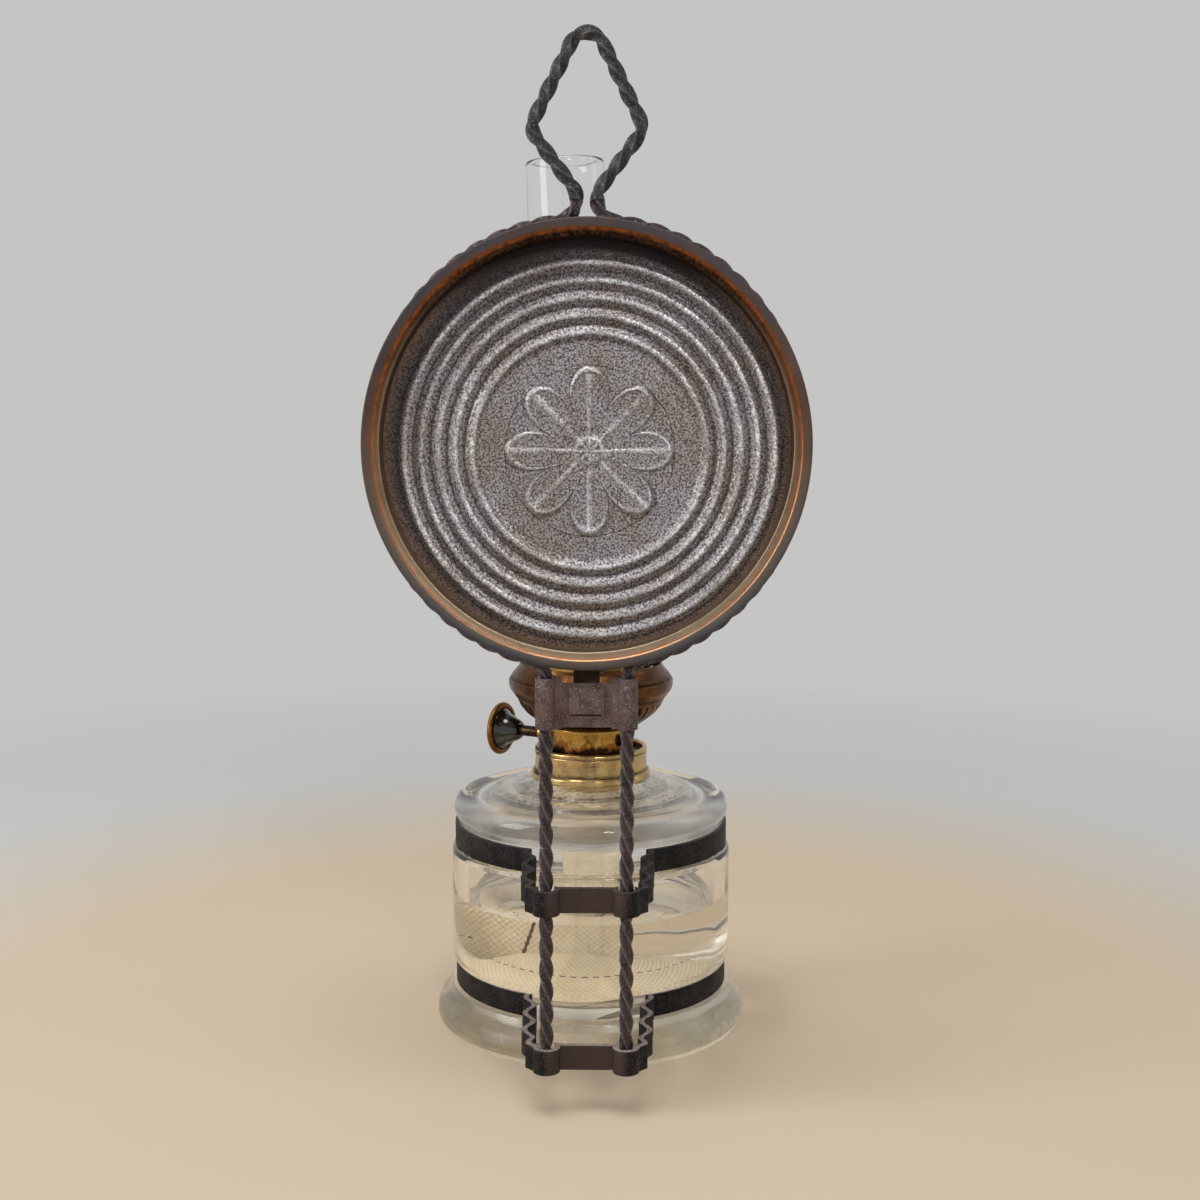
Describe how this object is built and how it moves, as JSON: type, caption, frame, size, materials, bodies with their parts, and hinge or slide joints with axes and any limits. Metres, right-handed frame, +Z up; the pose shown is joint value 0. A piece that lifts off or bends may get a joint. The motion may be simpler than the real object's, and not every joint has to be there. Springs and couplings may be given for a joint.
{
  "type": "wall oil lamp",
  "caption": "Wall lamp with a pressed glass oil font held in a twisted iron frame, a round reflector, a flat wick burner with a turn knob and a glass chimney.",
  "frame": {"origin": "centre of the underside of the glass foot, on the surface it stands on", "axes": "+Z up; +Y from the font towards the wall and the twisted rods; +X to the side of the knob"},
  "size_m": [0.1373, 0.1527, 0.3381],
  "materials": {
    "font_glass": "pressed clear glass, faint yellow-green, with fine waves",
    "lamp_oil": "clear pale yellow lamp oil",
    "collar_brass": "old brass with dark lines in its corners",
    "plaster": "matt off-white plaster",
    "strap_iron": "blackened iron strap, edges worn grey",
    "solder": "dull grey solder",
    "twisted_iron": "dark brown-grey twisted square iron",
    "rusted_sheet": "grainy rusted sheet iron",
    "rim_brass": "darkened brass, coppery at its inner edge",
    "grey_tin": "grey tinned sheet with brown rust specks",
    "card": "brown card",
    "mirror": "hollow silvered glass",
    "bezel_brass": "aged brass sheet",
    "burner_brass": "warm brass with tarnish lines",
    "gallery_brass": "brown patinated brass",
    "spring_brass": "spring brass",
    "spindle_brass": "dark tarnished brass rod",
    "knob_brass": "stamped brass, dark in its dish",
    "knob_black": "black lacquered turned wood",
    "wick_cotton": "woven cream cotton",
    "chimney_glass": "thin clear blown glass"
  },
  "bodies": {
    "lamp": {"font_glass": "font_glass", "font_oil": "lamp_oil", "font_collar": "collar_brass", "collar_plaster": "plaster", "lower_strap": "strap_iron", "upper_strap": "strap_iron", "rod_solder": "solder", "left_iron": "twisted_iron", "right_iron": "twisted_iron", "hanging_loop": "twisted_iron", "head_plate": "rusted_sheet", "reflector_rim": "rim_brass", "back_plate": "grey_tin", "mirror_packing": "card", "mirror_glass": "mirror", "front_bezel": "bezel_brass", "reflector_tongue": "bezel_brass", "wick_tail": "wick_cotton"},
    "burner": {"burner_base": "burner_brass", "burner_basket": "gallery_brass", "burner_gallery": "gallery_brass", "chimney_springs": "spring_brass", "flame_cone": "burner_brass", "wick_tube": "burner_brass", "spindle_bush": "burner_brass"},
    "spindle": {"wick_spindle": "spindle_brass", "wick_wheels": "spindle_brass", "knob_disc": "knob_brass", "knob_hub": "knob_black"},
    "wick": {"wick": "wick_cotton"},
    "chimney": {"chimney": "chimney_glass"}
  },
  "joints": [
    {"name": "burner_lift", "type": "slide", "parent": "lamp", "child": "burner", "axis": [0, 0, 1], "range_m": [0, 0.03]},
    {"name": "knob_turn", "type": "hinge", "parent": "burner", "child": "spindle", "pos_m": [0.00231, 0.00454, 0.1059], "axis": [-0.891, 0.454, 0], "range_deg": [0, 206]},
    {"name": "wick_rise", "type": "slide", "parent": "burner", "child": "wick", "axis": [0, 0, 1], "range_m": [0, 0.014]},
    {"name": "chimney_lift", "type": "slide", "parent": "burner", "child": "chimney", "axis": [0, 0, 1], "range_m": [0, 0.04]}
  ],
  "couplings": [
    {"joint": "knob_turn", "follows": "wick_rise", "rad_per_m": 256.4}
  ]
}
